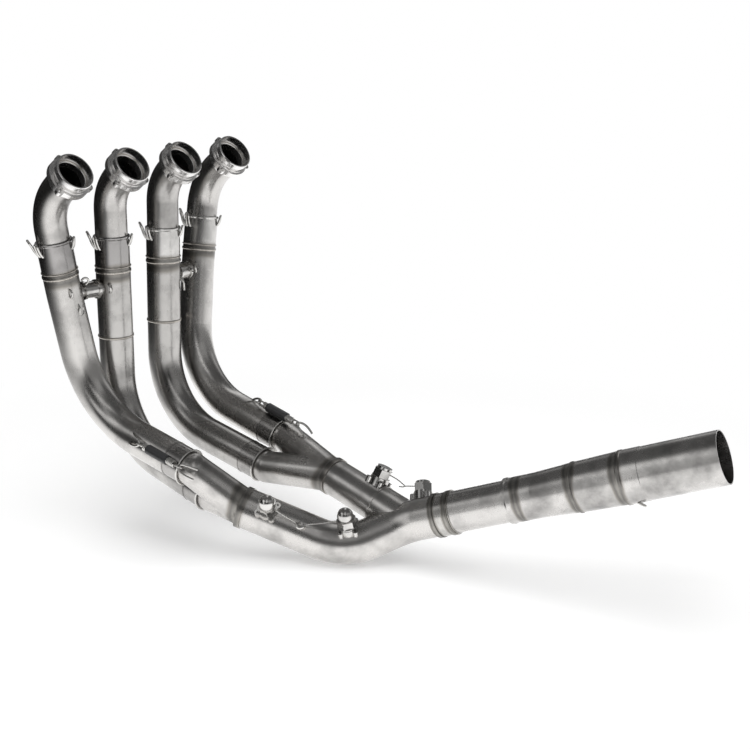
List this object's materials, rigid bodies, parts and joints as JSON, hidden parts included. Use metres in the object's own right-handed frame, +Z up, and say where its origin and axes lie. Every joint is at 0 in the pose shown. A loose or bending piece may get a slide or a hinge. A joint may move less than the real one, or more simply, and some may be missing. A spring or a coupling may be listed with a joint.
{
  "type": "motorcycle exhaust header",
  "caption": "Four-into-two-into-one tubular exhaust header with slip joints, merge collectors, crossovers, sensor plugs and a link pipe.",
  "frame": {"origin": "centre of the rim of the first inlet, the one nearest the viewer in the picture", "axes": "+X to the rear of the motorcycle, +Y across the engine from the first inlet to the fourth, +Z up"},
  "size_m": [0.7862, 0.3419, 0.4721],
  "materials": {
    "titanium_tube": "satin",
    "turned_titanium": "bright turned",
    "wire": "drawn",
    "rubber_sleeve": "matte"
  },
  "bodies": {
    "root": {"inlet_collar_1": "turned_titanium", "inlet_collar_2": "turned_titanium", "inlet_collar_3": "turned_titanium", "inlet_collar_4": "turned_titanium", "elbow_1": "titanium_tube", "elbow_2": "titanium_tube", "elbow_3": "titanium_tube", "elbow_4": "titanium_tube", "slip_sleeve_1": "titanium_tube", "slip_sleeve_2": "titanium_tube", "slip_sleeve_3": "titanium_tube", "slip_sleeve_4": "titanium_tube", "primary_1": "titanium_tube", "primary_2": "titanium_tube", "primary_3": "titanium_tube", "primary_4": "titanium_tube", "crossover_sleeve_12": "turned_titanium", "crossover_sleeve_34": "turned_titanium", "leg_socket_1": "titanium_tube", "leg_socket_2": "titanium_tube", "leg_socket_3": "titanium_tube", "leg_socket_4": "titanium_tube", "collector_near": "titanium_tube", "collector_far": "titanium_tube", "secondary_near": "titanium_tube", "secondary_far": "titanium_tube", "branch_socket": "titanium_tube", "link_joint": "titanium_tube", "link_pipe": "titanium_tube", "link_cone": "titanium_tube", "outlet_pipe": "titanium_tube", "bung_near_1": "turned_titanium", "bung_near_2": "turned_titanium", "bung_far_1": "turned_titanium", "bung_far_2": "turned_titanium", "plug_near_1": "turned_titanium", "plug_near_2": "turned_titanium", "plug_far_1": "turned_titanium", "plug_far_2": "turned_titanium", "hooks_1": "wire", "hooks_2": "wire", "hooks_3": "wire", "hooks_4": "wire", "spring_near": "wire", "spring_far": "wire", "spring_boot_near": "rubber_sleeve", "spring_boot_far": "rubber_sleeve", "spring_hooks_near": "wire", "spring_hooks_far": "wire", "outlet_hook": "wire"}
  },
  "joints": []
}
